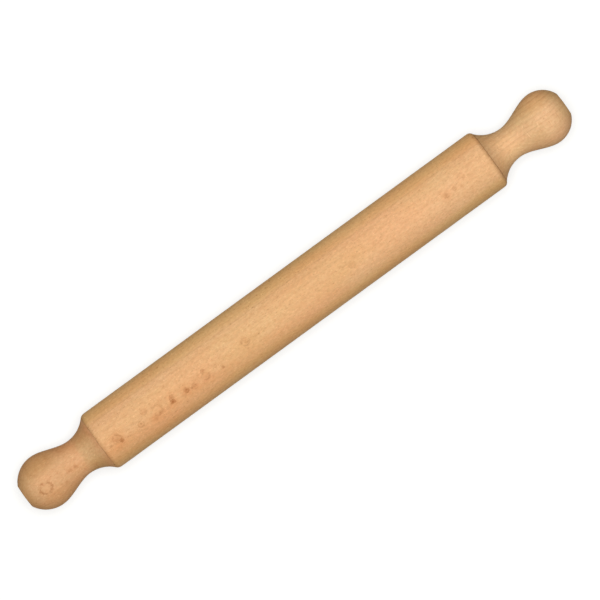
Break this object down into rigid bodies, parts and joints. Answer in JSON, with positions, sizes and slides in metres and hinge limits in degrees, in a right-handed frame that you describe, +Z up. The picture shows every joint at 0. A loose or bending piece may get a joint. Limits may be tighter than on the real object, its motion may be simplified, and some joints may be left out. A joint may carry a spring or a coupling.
{
  "type": "rolling pin",
  "caption": "Wooden rolling pin: straight round barrel between waisted knob handles that turn freely on steel stub axles.",
  "frame": {"origin": "middle of the whole pin, on its axis", "axes": "+X along the pin towards the handle with the thinner neck, +Z up, +Y away from the user"},
  "size_m": [0.45, 0.044, 0.044],
  "materials": {
    "barrel_wood": "fine sanded beech, satin",
    "handle_wood": "fine sanded beech, satin",
    "plug_wood": "beech end grain, satin",
    "axle_steel": "turned, bright",
    "washer_steel": "stamped, zinc plated",
    "bush_nylon": "natural nylon, matt"
  },
  "bodies": {
    "barrel": {"barrel": "barrel_wood", "left_axle_pin": "axle_steel", "left_thrust_washer": "washer_steel", "left_head_washer": "washer_steel", "right_axle_pin": "axle_steel", "right_thrust_washer": "washer_steel", "right_head_washer": "washer_steel"},
    "left_handle": {"left_handle": "handle_wood", "left_inner_bush": "bush_nylon", "left_outer_bush": "bush_nylon", "left_end_plug": "plug_wood"},
    "right_handle": {"right_handle": "handle_wood", "right_inner_bush": "bush_nylon", "right_outer_bush": "bush_nylon", "right_end_plug": "plug_wood"}
  },
  "joints": [
    {"name": "left_handle_spin", "type": "hinge", "parent": "barrel", "child": "left_handle", "pos_m": [-0.194, 0, 0], "axis": [1, 0, 0], "continuous": true},
    {"name": "right_handle_spin", "type": "hinge", "parent": "barrel", "child": "right_handle", "pos_m": [0.194, 0, 0], "axis": [1, 0, 0], "continuous": true}
  ]
}
